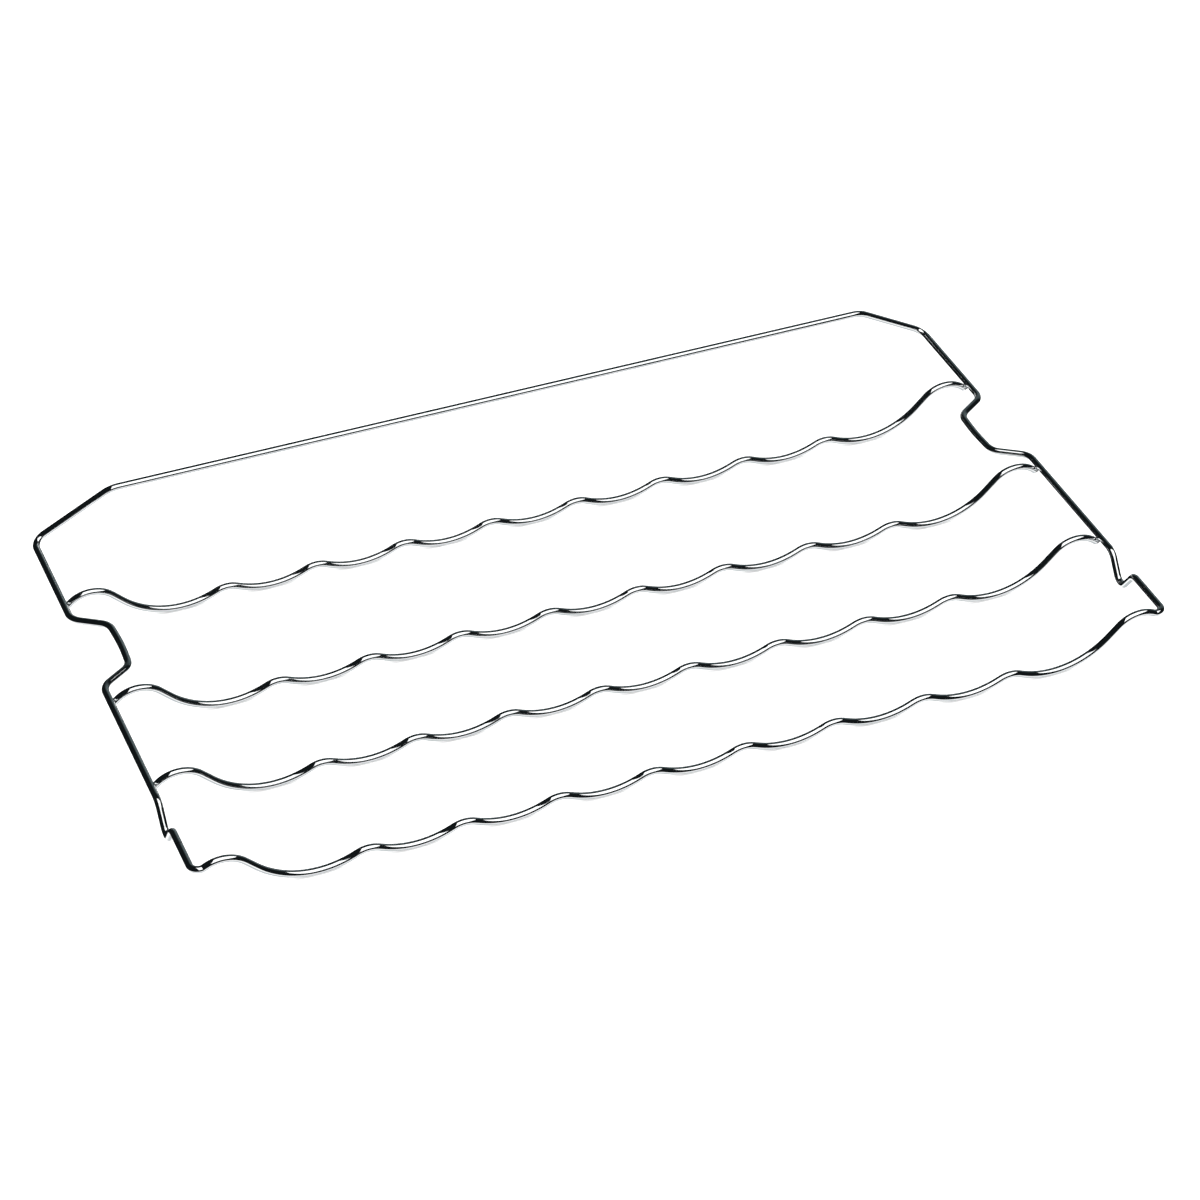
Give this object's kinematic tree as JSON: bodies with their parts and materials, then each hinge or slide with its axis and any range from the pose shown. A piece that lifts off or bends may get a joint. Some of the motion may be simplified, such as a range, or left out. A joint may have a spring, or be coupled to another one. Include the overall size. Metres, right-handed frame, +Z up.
{
  "type": "wire bottle rack shelf",
  "caption": "Chrome wire shelf with wave-bent cross wires that cradle bottles lying on their sides, notched side wires and a raised back rail.",
  "frame": {"origin": "on the surface the rack lies on, under the middle of its width and depth", "axes": "+X to the right across the rack, +Y from the front edge to the back fence, +Z up"},
  "size_m": [0.56, 0.301, 0.0535],
  "materials": {
    "chrome_wire": "polished",
    "plated_weld": "satin"
  },
  "bodies": {
    "root": {"frame_wire": "chrome_wire", "front_wave_wire": "chrome_wire", "second_wave_wire": "chrome_wire", "third_wave_wire": "chrome_wire", "rear_wave_wire": "chrome_wire", "left_seam_weld": "plated_weld", "right_seam_weld": "plated_weld", "second_wave_left_weld": "plated_weld", "second_wave_right_weld": "plated_weld", "third_wave_left_weld": "plated_weld", "third_wave_right_weld": "plated_weld", "rear_wave_left_weld": "plated_weld", "rear_wave_right_weld": "plated_weld"}
  },
  "joints": []
}
